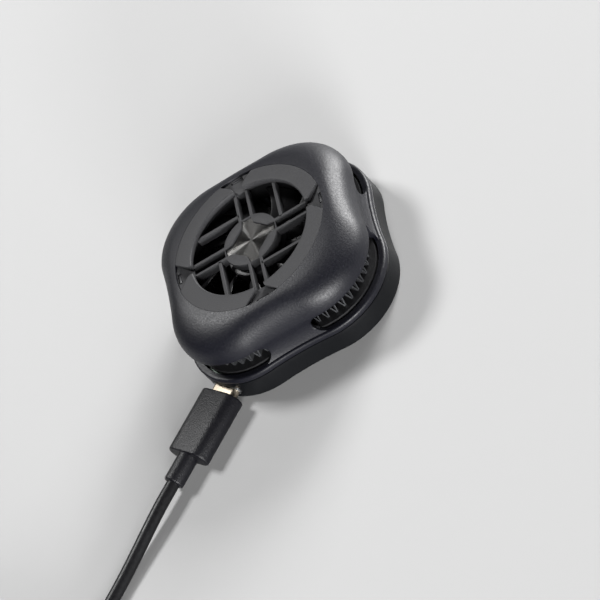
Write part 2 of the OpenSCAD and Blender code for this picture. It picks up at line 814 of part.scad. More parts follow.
module case_screws() {
    color("#a9abb0") on_diagonals(screw_at) {
        disc(screw_head_r, pad_t, pad_t + screw_head_t);
        disc(screw_r, pad_t + screw_head_t, deck_z + screw_grip);
    }
}

// Supply plug in the port
plug_w = socket_w - 2 * shell_t - 2 * plug_clear;
plug_h = socket_h - 2 * shell_t - 2 * plug_clear;
plug_nose = socket_back + socket_back_t + 0.3;
mould_y = lobe_reach + plug_show;
mould_end = mould_y + mould_len;
relief_end = mould_end + relief_len;
plug_hold = 2;
mould_round = 0.4;
relief_round = 0.5;

module shell_tube(y0, y1, z) {
    difference() {
        oval_along(plug_w, plug_h, y0, y1, z);
        oval_along(plug_w - 2 * shell_t, plug_h - 2 * shell_t, y0 - 1, y1 + 1, z);
    }
}
module mould_body(len) {
    difference() {
        union() {
            oval_along(mould_w, mould_h, -len + mould_round, -mould_round, 0);
            oval_along(mould_w - 2 * mould_round, mould_h - 2 * mould_round, -len, 0, 0);
        }
        oval_along(plug_w + 2 * glue_gap, plug_h + 2 * glue_gap, -plug_hold, 1, 0);
    }
}
module relief_body() {
    rotate([90, 0, 0]) rotate_extrude() polygon([
        [0, 0], [relief_d / 2, 0], [relief_d / 2, relief_len - relief_round],
        [relief_d / 2 - relief_round, relief_len], [0, relief_len]]);
}

module plug_shell() {
    color("#cdb692") shell_tube(-mould_y - plug_hold, -plug_nose, port_z);
}
module plug_overmold() {
    color("#1b1b1d") translate([0, -mould_y, port_z]) mould_body(mould_len);
}
module strain_relief() {
    color("#1b1b1d") translate([0, -mould_end, port_z]) relief_body();
}

// Lead: straight out of the relief and down to the surface, then a swing aside into a flat coil
lead_r = lead_d / 2;
lead_shift = 18;
coil_z = 3;
swing_y = -97;
swing_len = 40;
swing_steps = 6;
lead_in = 4;
function swing(f) =
    let (s = (1 - cos(180 * f)) / 2)
    [-lead_shift * s, swing_y - swing_len * f, lead_r + (coil_z - lead_r) * s];
coil_out = 27;
coil_at = [coil_out - lead_shift, swing_y - swing_len - 2 * lead_in];
lead_points = concat(
    [[0, -63, 3.3], [0, -66, 3.3], [0, -72, 3], [0, -79, 2.4], [0, -86, 1.9], [0, -92, lead_r]],
    [for (i = [0 : swing_steps]) swing(i / swing_steps)],
    [[-lead_shift, coil_at[1] + lead_in, coil_z]]);
coil_turns = 3.75;
coil_pitch = 4.5;
coil_lift = 4.1;
coil_in = coil_out - coil_pitch * coil_turns;
coil_rings = 24;
coil_half = round(coil_turns * coil_rings);
coil_climb = coil_rings / 2;
coil_last = 2 * coil_half + coil_climb;
function coil_level(i) = i <= coil_half ? 0
    : i >= coil_half + coil_climb ? 1 : (1 - cos(180 * (i - coil_half) / coil_climb)) / 2;
function coil_reach(i) =
    let (turns = i <= coil_half ? i / coil_rings
        : i >= coil_half + coil_climb ? (coil_last - i) / coil_rings : coil_turns)
    coil_out - coil_pitch * turns;
function coil_point(i) =
    let (a = 180 + i * 360 / coil_rings, r = coil_reach(i))
    [coil_at[0] + r * cos(a), coil_at[1] + r * sin(a), coil_z + coil_lift * coil_level(i)];
coil_path = concat(
    [[-lead_shift, coil_at[1] + lead_in, coil_z]],
    [for (i = [0 : coil_last]) coil_point(i)],
    [[-lead_shift, coil_at[1] - lead_in, coil_z + coil_lift]]);

// Tail: off the top of the coil and down to the height of the far plug
tail_len = 28;
tail_steps = 6;
far_y = coil_at[1] - lead_in - tail_len;
far_z = mould_h / 2;
tail_run = 20;
tail_points = concat(
    [[-lead_shift, coil_at[1] - lead_in, coil_z + coil_lift]],
    [for (i = [0 : tail_steps])
        let (s = (1 - cos(180 * i / tail_steps)) / 2)
        [-lead_shift, far_y + (tail_len + tail_run) / 2 - tail_run * i / tail_steps,
            coil_z + coil_lift + (far_z - coil_z - coil_lift) * s]],
    [[-lead_shift, far_y, far_z]]);

// Least gap between turns of the coil, over rings that lie at least half a turn apart
coil_gap = min([for (i = [0 : coil_last - coil_climb], j = [i + coil_climb : coil_last])
    norm(coil_point(i) - coil_point(j))]) - lead_d;
echo(coil_gap = coil_gap);

module lead() {
    route = concat([[0, -relief_end, port_z]], [for (p = lead_points) if (p[1] < -relief_end - 1) p]);
    color("#131314") tube_along(route, lead_r, 8);
}
module lead_coil() {
    color("#131314") tube_along(coil_path, lead_r, 6);
}
module lead_tail() {
    color("#131314") tube_along(tail_points, lead_r, 8);
}

tie_t = 0.8;
tie_w = 6;
tie_clear = 0.4;
module coil_tie() {
    near = coil_out - coil_pitch * (floor(coil_turns) + 0.5) - lead_r - 2 * tie_clear;
    far = coil_out - coil_pitch / 2 + lead_r + tie_clear;
    inner = [far - near, coil_lift + lead_d + 2 * tie_clear];
    color("#2a2b2d") translate([coil_at[0] + near, coil_at[1], coil_z - lead_r - tie_clear])
        rotate([90, 0, 0]) translate([0, 0, -tie_w / 2]) linear_extrude(tie_w) difference() {
            translate([-tie_t, -tie_t]) square([inner[0] + 2 * tie_t, inner[1] + 2 * tie_t]);
            square(inner);
        }
}

module supply_relief() {
    color("#1b1b1d") translate([-lead_shift, far_y - relief_len, far_z]) rotate([0, 0, 180]) relief_body();
}
module supply_overmold() {
    color("#1b1b1d") translate([-lead_shift, far_y - relief_len - mould_len, far_z])
        rotate([0, 0, 180]) mould_body(mould_len);
}
module supply_shell() {
    front = -far_y + relief_len + mould_len;
    color("#cdb692") translate([-lead_shift, 0, 0])
        shell_tube(-front - plug_show - lobe_reach + plug_nose, -front + plug_hold, far_z);
}

base_housing();
contact_pad();
cold_plate();
magnet_ring();
magnet_shield();
foam_gasket();
peltier_cold();
peltier_pellets();
peltier_hot();
thermal_pad();
heat_sink();
fin_packs();
control_board();
board_components();
usb_socket_shell();
usb_socket_tongue();
peltier_leads();
fan_leads();
motor_mount();
motor_screws();
motor_board();
bearing_bush();
stator_core();
stator_coils();
motor_shaft();
rotor_yoke();
rotor_magnet();
impeller();
fan_shroud();
top_cover();
grille_plate();
hub_badge();
case_screws();
plug_shell();
plug_overmold();
strain_relief();
lead();
lead_coil();
lead_tail();
coil_tie();
supply_relief();
supply_overmold();
supply_shell();
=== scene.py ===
import math

import bmesh
import bpy
import numpy as np
from mathutils import Matrix, Vector


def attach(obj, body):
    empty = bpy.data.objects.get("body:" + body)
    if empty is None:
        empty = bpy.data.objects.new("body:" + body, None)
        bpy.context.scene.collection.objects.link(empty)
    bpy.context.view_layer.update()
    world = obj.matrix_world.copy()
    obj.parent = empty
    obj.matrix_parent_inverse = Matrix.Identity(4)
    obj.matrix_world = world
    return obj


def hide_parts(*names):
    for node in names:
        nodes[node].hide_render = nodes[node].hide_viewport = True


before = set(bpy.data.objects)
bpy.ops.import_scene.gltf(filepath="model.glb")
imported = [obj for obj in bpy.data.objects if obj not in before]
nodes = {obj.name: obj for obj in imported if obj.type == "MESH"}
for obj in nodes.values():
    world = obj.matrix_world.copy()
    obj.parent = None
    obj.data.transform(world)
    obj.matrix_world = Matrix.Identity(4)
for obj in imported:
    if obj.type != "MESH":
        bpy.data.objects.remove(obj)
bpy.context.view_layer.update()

# Camera: a long lens high over the cooler's front right side, rolled so that the supply plug
# points to the lower left corner of the picture.
camera = bpy.data.cameras.new("camera")
camera.sensor_width = 36
camera.lens = 200.86
viewer = bpy.data.objects.new("camera", camera)
viewer.matrix_world = Matrix((
    (0.70259162, -0.15846792, 0.69372396, 0.58796),
    (0.47237824, 0.83296663, -0.28814126, -0.24636),
    (-0.53218777, 0.53014574, 0.66009217, 0.55605),
    (0, 0, 0, 1)))
bpy.context.scene.collection.objects.link(viewer)
bpy.context.scene.camera = viewer

# Supply plug: a drawn steel shell with a warm nickel plating, held in a black overmould whose
# flat faces are spark-eroded in the tool, and a short round relief where the lead comes out.
mm = 0.001


def finish(name, colour, rough, metal=0.0, grain=0.3, bump=0.02, tone=0.12, gloss=0.06, shine=0.5):
    """A moulded or plated surface. Its grain, in mm, shifts tone and gloss and lifts a fine relief,
    bump, in mm too."""
    mat = bpy.data.materials.new(name)
    mat.use_nodes = True
    tree = mat.node_tree
    shade = tree.nodes["Principled BSDF"]
    shade.inputs["Metallic"].default_value = metal
    shade.inputs["Specular IOR Level"].default_value = shine
    place = tree.nodes.new("ShaderNodeTexCoord")
    noise = tree.nodes.new("ShaderNodeTexNoise")
    noise.inputs["Scale"].default_value = 1 / (grain * mm)
    noise.inputs["Detail"].default_value = 3
    tree.links.new(place.outputs["Object"], noise.inputs["Vector"])
    shift = tree.nodes.new("ShaderNodeMix")
    shift.data_type = "RGBA"
    shift.inputs["A"].default_value = (*[c * (1 - tone) for c in colour], 1)
    shift.inputs["B"].default_value = (*[c * (1 + tone) for c in colour], 1)
    tree.links.new(noise.outputs["Fac"], shift.inputs["Factor"])
    tree.links.new(shift.outputs["Result"], shade.inputs["Base Color"])
    spread = tree.nodes.new("ShaderNodeMapRange")
    spread.inputs["From Min"].default_value = 0.3
    spread.inputs["From Max"].default_value = 0.7
    spread.inputs["To Min"].default_value = rough - gloss
    spread.inputs["To Max"].default_value = rough + gloss
    tree.links.new(noise.outputs["Fac"], spread.inputs["Value"])
    tree.links.new(spread.outputs["Result"], shade.inputs["Roughness"])
    relief = tree.nodes.new("ShaderNodeBump")
    relief.inputs["Strength"].default_value = 0.5
    relief.inputs["Distance"].default_value = bump * mm
    tree.links.new(noise.outputs["Fac"], relief.inputs["Height"])
    tree.links.new(relief.outputs["Normal"], shade.inputs["Normal"])
    return mat


def loft(bm, count, rings):
    """Extrudes a circle of count corners from ring to ring; a ring gives the place of each turn."""
    for layer in ("turn", "core", "lean"):
        if layer not in bm.verts.layers.float:
            bm.verts.layers.float.new(layer)
    turn = bm.verts.layers.float["turn"]
    row = bmesh.ops.create_circle(bm, segments=count, radius=1)["verts"]
    for v in row:
        v[turn] = math.atan2(v.co.y, v.co.x) + math.pi / count
    first = edges = list({e for v in row for e in v.link_edges})
    rows = []
    for i, ring in enumerate(rings):
        if i:
            grown = bmesh.ops.extrude_edge_only(bm, edges=edges)["geom"]
            row = [g for g in grown if isinstance(g, bmesh.types.BMVert)]
            edges = [g for g in grown if isinstance(g, bmesh.types.BMEdge) and g.is_boundary]
        for v in row:
            v.co = Vector(ring(v[turn])) * mm
        rows.append(sorted(row, key=lambda v: v[turn]))
    return rows, first, edges


def capped(bm, count, rings):
    """Lofts through the rings and closes both ends."""
    _, first, last = loft(bm, count, rings)
    bmesh.ops.edgeloop_fill(bm, edges=first)
    bmesh.ops.edgeloop_fill(bm, edges=last)


def weld(bm):
    """Joins corners that lie on each other."""
    bmesh.ops.remove_doubles(bm, verts=bm.verts, dist=1e-6)


def make(name, bm, body, slot, mat, *stands_for, sharp=35):
    """Turns a bmesh into a piece of the given body, smooth but for its sharp edges."""
    bmesh.ops.recalc_face_normals(bm, faces=bm.faces)
    mesh = bpy.data.meshes.new(name)
    bm.to_mesh(mesh)
    bm.free()
    mesh.materials.append(mat)
    mesh.shade_smooth()
    mesh.set_sharp_from_angle(angle=math.radians(sharp))
    obj = bpy.data.objects.new(name, mesh)
    bpy.context.scene.collection.objects.link(obj)
    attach(obj, body)
    if stands_for:
        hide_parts(*stands_for)
    return obj


def oval(wide, high, x, y, z):
    """A ring across the lead's way, with half-round ends and flat faces above and below."""
    reach, r = (wide - high) / 2, high / 2
    return lambda a: (
        x + math.copysign(reach, math.cos(a)) + r * math.cos(a), y, z + r * math.sin(a))


def solid(name, rings, slot, mat, *stands_for, count=64):
    """A piece of the lead lofted through its rings and closed at both ends."""
    bm = bmesh.new()
    capped(bm, count, rings)
    return make(name, bm, "supply_lead", slot, mat, *stands_for)


port_z = 3.3
shell_w, shell_h, shell_t = 8.24, 2.46, 0.27
mould_w, mould_h, mould_len = 12.6, 6.2, 18
relief_d, relief_len = 5.2, 7.7
overmould_black = finish("overmould_black", (0.0025, 0.0025, 0.004), 0.45,
                         grain=0.36, bump=0.23, tone=0.6, shine=0.29)
plug_nickel = finish("plug_nickel", (0.33, 0.285, 0.225), 0.38, metal=1.0,
                     grain=0.5, bump=0.001, tone=0.08)


def plug(prefix, nose_y, front_y, way, x, z):
    """Shell, overmould and relief of one plug; way is +1 where its lead goes on towards -Y."""
    def ring(wide, high, trim, off):
        return oval(wide - 2 * trim, high - 2 * trim, x, front_y - way * off, z)

    back, lip, mouth = 2.0, 0.12, 0.05
    length = abs(front_y - nose_y)
    shell = [ring(shell_w, shell_h, trim, off) for trim, off in (
        (shell_t, back), (0, back), (0, -length + lip), (lip, -length),
        (shell_t, -length + mouth), (shell_t, back))]
    bm = bmesh.new()
    loft(bm, 64, shell)
    weld(bm)
    parts = [make(prefix + "_shell_drawn", bm, "supply_lead", "plug_metal", plug_nickel,
                  prefix + "_shell")]
    edge, round_end = 0.45, 0.5
    turns = [math.radians(t) for t in (0, 22, 45, 68, 90)]
    bends = [(edge * (1 - math.sin(t)), edge * (1 - math.cos(t))) for t in turns]
    mould = [ring(mould_w, mould_h, trim, off) for trim, off in bends]
    mould += [ring(mould_w, mould_h, trim, mould_len - off) for trim, off in reversed(bends)]
    parts.append(solid(prefix + "_overmould", mould, "overmold", overmould_black,
                       prefix + "_overmold"))
    relief = [ring(relief_d, relief_d, 0, mould_len)]
    relief += [ring(relief_d, relief_d, round_end * (1 - math.cos(t)),
                    mould_len + relief_len - round_end * (1 - math.sin(t))) for t in turns]
    parts.append(solid(prefix + "_relief_sleeve", relief, "overmold", overmould_black,
                       "strain_relief" if prefix == "plug" else prefix + "_relief", count=48))
    return parts


plug("plug", -27.7, -35.15, 1, 0, port_z)

# Lead: a round black jacket, straight out of the relief and down to the surface it lies on. The
# spare length is wound in a flat coil of two layers, with a plug like the near one on its tail.
lead_d = 3.4
coil_at, coil_out, coil_z, aside, far_z = (9, -145), 27, 3, -18, 3.1
coil_turns, coil_pitch, coil_lift, coil_rings = 3.75, 4.5, 4.1, 24
lie_z, top_z = lead_d / 2, coil_z + coil_lift
ease = [(1 - math.cos(math.pi * i / 6)) / 2 for i in range(7)]
way_out = [(0, -60.85, port_z), (0, -63, port_z), (0, -66, port_z), (0, -72, 3), (0, -79, 2.4),
           (0, -86, 1.9), (0, -92, lie_z)]
way_out += [(aside * s, -97 - 40 * i / 6, lie_z + (coil_z - lie_z) * s) for i, s in enumerate(ease)]
way_out.append((aside, -141, coil_z))
tail = [(aside, -149, top_z)]
tail += [(aside, -153 - 20 * i / 6, top_z - (top_z - far_z) * s) for i, s in enumerate(ease)]
tail.append((aside, -177, far_z))
half, climb = round(coil_turns * coil_rings), coil_rings // 2
wound = []
for i in range(2 * half + climb + 1):
    inwards = min(i, half, 2 * half + climb - i)
    rise = min(max((i - half) / climb, 0), 1)
    reach = coil_out - coil_pitch * inwards / coil_rings
    bearing = math.pi + 2 * math.pi * i / coil_rings
    wound.append((
        coil_at[0] + reach * math.cos(bearing), coil_at[1] + reach * math.sin(bearing),
        coil_z + coil_lift * (1 - math.cos(math.pi * rise)) / 2))
route = [Vector(p) * mm for p in way_out + wound + tail]
line = bpy.data.curves.new("lead_jacket", "CURVE")
line.dimensions = "3D"
line.bevel_depth = lead_d / 2 * mm
line.bevel_resolution = 6
line.resolution_u = 6
line.use_fill_caps = True
run = line.splines.new("BEZIER")
run.bezier_points.add(len(route) - 1)
for knot, p in zip(run.bezier_points, route):
    knot.co = p
    knot.handle_left_type = knot.handle_right_type = "AUTO"
lead = bpy.data.objects.new("lead_jacket", line)
bpy.context.scene.collection.objects.link(lead)
line.materials.append(finish("jacket_black", (0.004, 0.004, 0.0046), 0.42,
                             grain=0.8, bump=0.01, tone=0.2, shine=0.26))
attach(lead, "supply_lead")
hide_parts("lead", "lead_coil", "lead_tail")

# Tie: a strap of woven hook-and-loop tape, wrapped once round both layers of the coil.
# It keeps the spare length together.
tie_t, tie_w, tie_clear, tie_round = 0.8, 6, 0.4, 2.2
tie_near = coil_out - coil_pitch * (int(coil_turns) + 0.5) - lead_d / 2 - 2 * tie_clear
tie_far = coil_out - coil_pitch / 2 + lead_d / 2 + tie_clear
tie_low, tie_high = coil_z - lead_d / 2 - tie_clear, coil_z + coil_lift + lead_d / 2 + tie_clear


def strap_ring(y, grow):
    """The strap's way round the coil, a rounded oblong, grown outwards by grow."""
    wide, high = (tie_far - tie_near) / 2 + grow, (tie_high - tie_low) / 2 + grow
    mid_x, mid_z = coil_at[0] + (tie_far + tie_near) / 2, (tie_low + tie_high) / 2

    def ring(a):
        c, s = math.cos(a), math.sin(a)
        x = math.copysign(wide - tie_round, c) + tie_round * c
        z = math.copysign(high - tie_round, s) + tie_round * s
        return (mid_x + x, coil_at[1] + y, mid_z + z)
    return ring


strap = [strap_ring(-tie_w / 2, tie_t), strap_ring(tie_w / 2, tie_t), strap_ring(tie_w / 2, 0),
         strap_ring(-tie_w / 2, 0), strap_ring(-tie_w / 2, tie_t)]
bm = bmesh.new()
loft(bm, 48, strap)
weld(bm)
tie_weave = finish("tie_weave", (0.03, 0.03, 0.032), 0.85, grain=0.35, bump=0.15, tone=0.5)
tie = make("tie_strap", bm, "supply_lead", "tie", tie_weave, "coil_tie")
far_plug = plug("supply", -210.15, -202.7, -1, aside, far_z)

# Contact pad: a soft silicone gasket on the underside, which grips the back of what is cooled.
# It follows the four-lobed outline and leaves the cold plate bare.
waist_radius, waist_reach, lobe_radius = 80, 28.2, 18
waist_at = waist_reach + waist_radius
lobe_at = (math.sqrt(2) * waist_at
           - math.sqrt(4 * (lobe_radius + waist_radius) ** 2 - 2 * waist_at ** 2)) / 2
lobe_turn = math.atan2(waist_at / math.sqrt(2), waist_at / math.sqrt(2) - lobe_at)


def reach_at(a, inset):
    """How far the outline of lobes and hollow waists, set in by inset, stands from the fan axis."""
    t = abs(a - math.pi / 2 * round(a / (math.pi / 2)))
    r = lobe_radius - inset
    if t < math.atan2(r * math.sin(lobe_turn), lobe_at + r * math.cos(lobe_turn)):
        return lobe_at * math.cos(t) + math.sqrt(r * r - (lobe_at * math.sin(t)) ** 2)
    s, r = math.pi / 4 - t, waist_radius + inset
    return waist_at * math.cos(s) - math.sqrt(r ** 2 - (waist_at * math.sin(s)) ** 2)


def lobed(inset, z):
    return lambda a: (reach_at(a, inset) * math.cos(a), reach_at(a, inset) * math.sin(a), z)


def round_at(r, z):
    return lambda a: (r * math.cos(a), r * math.sin(a), z)


def closed_ring(bm, count, rings):
    """Lofts a ring-shaped wall whose last ring comes back to its first."""
    rows, _, _ = loft(bm, count, rings + rings[:1])
    return rows


pad_t, pad_inset, pad_edge, cold_r, cold_gap = 0.8, 1.2, 0.15, 19, 0.15
silicone = finish("silicone", (0.03, 0.03, 0.032), 0.72, grain=0.5, bump=0.03, tone=0.2)
bm = bmesh.new()
closed_ring(bm, 180, [
    lobed(pad_inset + pad_edge, 0), lobed(pad_inset, pad_edge), lobed(pad_inset, pad_t),
    round_at(cold_r + cold_gap, pad_t), round_at(cold_r + cold_gap, pad_edge),
    round_at(cold_r + cold_gap + pad_edge, 0)])
weld(bm)
make("grip_pad", bm, "housing", "silicone", silicone, "contact_pad")

# Cold plate: a turned aluminium disc, flush with the pad, with a flange that the base holds in.
# The lathe leaves fine rings on its face.
def ring_relief(mat, scale, profile, strength, depth):
    """Adds fine rings round the axis, depth mm high, to a finish."""
    tree = mat.node_tree
    cuts = tree.nodes.new("ShaderNodeTexWave")
    cuts.wave_type = "RINGS"
    cuts.rings_direction = "Z"
    cuts.wave_profile = profile
    cuts.inputs["Scale"].default_value = scale
    tree.links.new(tree.nodes["Texture Coordinate"].outputs["Object"], cuts.inputs["Vector"])
    grooves = tree.nodes.new("ShaderNodeBump")
    grooves.inputs["Strength"].default_value = strength
    grooves.inputs["Distance"].default_value = depth * mm
    tree.links.new(cuts.outputs["Fac"], grooves.inputs["Height"])
    tree.links.new(tree.nodes["Bump"].outputs["Normal"], grooves.inputs["Normal"])
    tree.links.new(grooves.outputs["Normal"], tree.nodes["Principled BSDF"].inputs["Normal"])


cold_edge, flange, flange_low, flange_high = 0.25, 1.5, 2.2, 3.2
turned = finish("turned_aluminium", (0.72, 0.73, 0.74), 0.3, metal=1.0,
                grain=1.5, bump=0.003, tone=0.05)
ring_relief(turned, 900, "SIN", 0.4, 0.01)
bm = bmesh.new()
capped(bm, 128, [
    round_at(cold_r - cold_edge, 0), round_at(cold_r, cold_edge), round_at(cold_r, flange_low),
    round_at(cold_r + flange, flange_low), round_at(cold_r + flange, flange_high)])
make("cold_disc", bm, "housing", "aluminium", turned, "cold_plate")

# Base: a shallow moulded tray in black, with a broken foot and a narrow chamfer at the seam.
# Its front wall is pierced for the supply socket.
base_h, wall, floor_z, foot_lift = 6.3, 1.6, 2.2, 0.3
pace_inset, paces = 1.4, 720
step = [-math.pi / 4 + i * math.pi / (2 * paces) for i in range(paces + 1)]
walk = np.array([lobed(pace_inset, 0)(a)[:2] for a in step])
paced = np.concatenate([[0], np.cumsum(np.linalg.norm(np.diff(walk, axis=0), axis=1))])
paced -= paced[paces // 2]


def pierce(bm, outer, inner, lobe, shift, half, radius, mid, skin, hollow, round_edge):
    """Opens an oval window through two walls with like rows, rounds its rim and joins the walls.
    Its length runs along the lobe; skin and hollow place a point on the outer and the inner wall."""
    turn = bm.verts.layers.float["turn"]
    core, lean = bm.verts.layers.float["core"], bm.verts.layers.float["lean"]
    count = len(outer[0])

    def off_lobe(a):
        return (a - lobe + math.pi) % (2 * math.pi) - math.pi

    def from_core(v, shift):
        s = float(np.interp(off_lobe(v[turn] + shift), step, paced))
        middle = max(shift - half, min(shift + half, s))
        return middle, s - middle, v.co.z / mm - mid

    cells = []
    for i in range(len(outer) - 1):
        for j in range(count):
            quad = [(i, j), (i, (j + 1) % count), (i + 1, (j + 1) % count), (i + 1, j)]
            if not outer[i][j].is_valid or abs(off_lobe(outer[i][j][turn])) > math.pi / 4:
                continue
            _, ds, low = from_core(outer[i][j], math.pi / count)
            high = outer[i + 1][j].co.z / mm - mid
            if math.hypot(ds, (low + high) / 2) < radius:
                cells.append(quad)
    used = {}
    for quad in cells:
        for c in quad:
            used[c] = used.get(c, 0) + 1
    rim = [c for c, n in used.items() if n < 4]
    faces = [bm.faces.get([rows[i][j] for i, j in quad])
             for rows in (outer, inner) for quad in cells]
    for i, j in rim:
        middle, ds, dz = from_core(outer[i][j], 0)
        for rows in (outer, inner):
            rows[i][j][core] = middle
            rows[i][j][lean] = math.atan2(dz, ds)
    bmesh.ops.delete(bm, geom=faces, context="FACES")

    def spot(v, grow, depth, side):
        share = 1 - max(0, -math.sin(v[lean]))
        s = v[core] + math.cos(v[lean]) * (radius + grow * share)
        z = mid + math.sin(v[lean]) * (radius + grow * share)
        return Vector(side(lobe + float(np.interp(s, paced, step)), z, depth)) * mm

    edge_verts = {outer[i][j] for i, j in rim}
    edges = [e for e in bm.edges
             if e.is_boundary and e.verts[0] in edge_verts and e.verts[1] in edge_verts]
    for v in edge_verts:
        v.co = spot(v, round_edge, 0, skin)
    for i, j in rim:
        inner[i][j].co = spot(inner[i][j], 0, 0, hollow)
    for grow, depth, side in ((0.3, 0.3, skin), (0.06, 0.65, skin), (0, 1, skin), (0, 0, hollow)):
        grown = bmesh.ops.extrude_edge_only(bm, edges=edges)["geom"]
        edges = [g for g in grown if isinstance(g, bmesh.types.BMEdge) and g.is_boundary]
        for v in grown:
            if isinstance(v, bmesh.types.BMVert):
                v.co = spot(v, grow * round_edge, depth * round_edge, side)


def on_wall(inset):
    return lambda a, z, depth: (
        reach_at(a, inset + depth) * math.cos(a), reach_at(a, inset + depth) * math.sin(a), z)


base_satin = finish("base_satin", (0.002, 0.0023, 0.003), 0.4,
                    grain=0.35, bump=0.012, tone=0.15, shine=0.2)
wall_rows, inner_low, inner_high, recess = 15, 1.3, 5.9, 1.1
port_half, port_r, port_rim = 2.89, 1.68, 0.2
rings = [lobed(0.6, foot_lift), lobed(0.35, foot_lift + 0.07), lobed(0.12, foot_lift + 0.25)]
outer_start = len(rings)
rings += [lobed(0, 0.8 + 0.35 * i) for i in range(wall_rows)]
rings += [lobed(0.05, base_h - 0.12), lobed(0.22, base_h), lobed(wall, base_h)]
inner_start = len(rings)
rings += [lobed(wall, inner_low + (inner_high - inner_low) * i / (wall_rows - 1))
          for i in reversed(range(wall_rows))]
rings += [lobed(wall + 0.7, inner_low), lobed(wall + 0.9, floor_z),
          round_at(cold_r + cold_gap, floor_z), round_at(cold_r + cold_gap, pad_t),
          lobed(recess, pad_t), lobed(recess, foot_lift)]
bm = bmesh.new()
rows = closed_ring(bm, 360, rings)
outer_rows = rows[outer_start:outer_start + wall_rows]
inner_rows = rows[inner_start:inner_start + wall_rows][::-1]
pierce(bm, outer_rows, inner_rows, -math.pi / 2, 0, port_half, port_r, port_z,
       on_wall(0), on_wall(wall), port_rim)
weld(bm)
make("base_tray", bm, "housing", "base_plastic", base_satin, "base_housing")

# Magnets: a ring of nickel-plated blocks round the cold plate, which hold the cooler to what it
# cools. A thin steel shield lies over their backs.
def dress(mat, *names):
    """Gives CAD pieces, whose shape is right, their finish."""
    for name in names:
        for held in nodes[name].material_slots:
            held.material = mat


dress(finish("nickel_plate", (0.5, 0.51, 0.52), 0.22, metal=1.0, grain=0.6, bump=0.004, tone=0.06),
      "magnet_ring")
zinc_plate = finish("zinc_plate", (0.55, 0.56, 0.57), 0.34, metal=1.0,
                    grain=0.4, bump=0.006, tone=0.1)
dress(zinc_plate, "magnet_shield")

# Thermoelectric cooler: two white alumina plates with soldered pellets between them, in a gasket of
# closed-cell foam. A soft pad lies on its hot side, and two insulated wires lead to the board.
dress(finish("alumina", (0.82, 0.81, 0.76), 0.5, grain=0.4, bump=0.01, tone=0.04),
      "peltier_cold", "peltier_hot")
dress(finish("pellet_alloy", (0.2, 0.2, 0.21), 0.4, metal=1.0, grain=0.3, bump=0.02, tone=0.2),
      "peltier_pellets")
dress(finish("closed_foam", (0.05, 0.05, 0.05), 0.9, grain=0.25, bump=0.12, tone=0.4),
      "foam_gasket")
dress(finish("soft_pad", (0.35, 0.43, 0.55), 0.75, grain=0.6, bump=0.03, tone=0.1), "thermal_pad")
dress(finish("wire_sleeve", (0.35, 0.02, 0.02), 0.45, grain=0.5, bump=0.01, tone=0.1),
      "peltier_leads", "fan_leads")

# Board: glass-fibre sheet under green solder resist, with moulded parts on it. The socket is a
# formed steel shell round a black tongue.
resist = finish("solder_resist", (0.02, 0.09, 0.04), 0.38, grain=0.7, bump=0.02, tone=0.25)
dress(resist, "control_board", "motor_board")
dress(finish("moulded_parts", (0.02, 0.02, 0.022), 0.5, grain=0.3, bump=0.02, tone=0.2),
      "board_components", "usb_socket_tongue")
dress(zinc_plate, "usb_socket_shell")

# Heat sink: an aluminium plate that carries one folded sheet of fins in each lobe. Both are
# anodised black, and the folds keep a soft gleam.
anodised = finish("black_anodised", (0.012, 0.012, 0.013), 0.5, metal=0.3,
                  grain=0.4, bump=0.015, tone=0.3)
dress(anodised, "heat_sink")
dress(finish("fin_sheet", (0.1, 0.103, 0.11), 0.34, metal=0.8, grain=0.4, bump=0.015, tone=0.3),
      "fin_packs")

# Motor: a steel cup with a ring magnet turns round six wound teeth. Its shaft runs in a bronze
# bush, in a moulded mount that three screws hold to the heat sink.
inner_black = finish("inner_black", (0.008, 0.008, 0.009), 0.5, grain=0.3, bump=0.012, tone=0.2)
dress(inner_black, "motor_mount")
dress(zinc_plate, "motor_screws", "stator_core", "motor_shaft", "rotor_yoke")
dress(finish("ferrite", (0.05, 0.05, 0.055), 0.55, grain=0.3, bump=0.02, tone=0.3), "rotor_magnet")
dress(finish("oiled_bronze", (0.55, 0.38, 0.18), 0.42, metal=1.0, grain=0.15, bump=0.01, tone=0.2),
      "bearing_bush")
dress(finish("enamelled_copper", (0.6, 0.28, 0.12), 0.32, metal=1.0, grain=0.2, bump=0.03, tone=0.2),
      "stator_coils")

# Impeller: nine swept blades moulded in black in one piece with the hub that sits on the cup.
# They draw the air in through the face plate.
rotor_z, cup_top, blade_z, blade_h, blade_t, blade_top = 11.1, 17.58, 12.0, 6.6, 0.8, 18.6
cup_r, impeller_r, fan_r, blade_root, blades = 7.63, 8.68, 19, 8.2, 9
chord, chord_gain, steep, taper, camber, sweep = 7.4, 2.8, 0.8, 0.22, 0.08, 24
hub_edge, hub_round = 0.2, 0.7


def blade_ring(turn, f):
    """A section of a blade, f of the way from its root to its tip: a thin cambered oval."""
    r = blade_root + (fan_r - blade_root) * f
    rise = (blade_h - blade_t) * (1 - taper * f)
    run = math.sqrt((chord + chord_gain * f) ** 2 - (steep * rise) ** 2)

    def ring(a):
        s = math.cos(a) / 2
        b = turn + math.radians(sweep * f) + s * run / r
        z = blade_z + blade_h / 2 + (s + camber * math.cos(math.pi * s)) * rise
        return (r * math.cos(b), r * math.sin(b), z + blade_t / 2 * math.sin(a))
    return ring


bm = bmesh.new()
capped(bm, 96, [
    round_at(cup_r, cup_top), round_at(cup_r, rotor_z), round_at(impeller_r - hub_edge, rotor_z),
    round_at(impeller_r, rotor_z + hub_edge), round_at(impeller_r, blade_top - hub_round),
    round_at(impeller_r - hub_edge, blade_top - hub_edge), round_at(impeller_r - hub_round, blade_top)])
for k in range(blades):
    capped(bm, 32, [blade_ring(2 * math.pi * k / blades, i / 10) for i in range(11)])
make("fan_wheel", bm, "rotor", "inner_plastic", inner_black, "impeller")

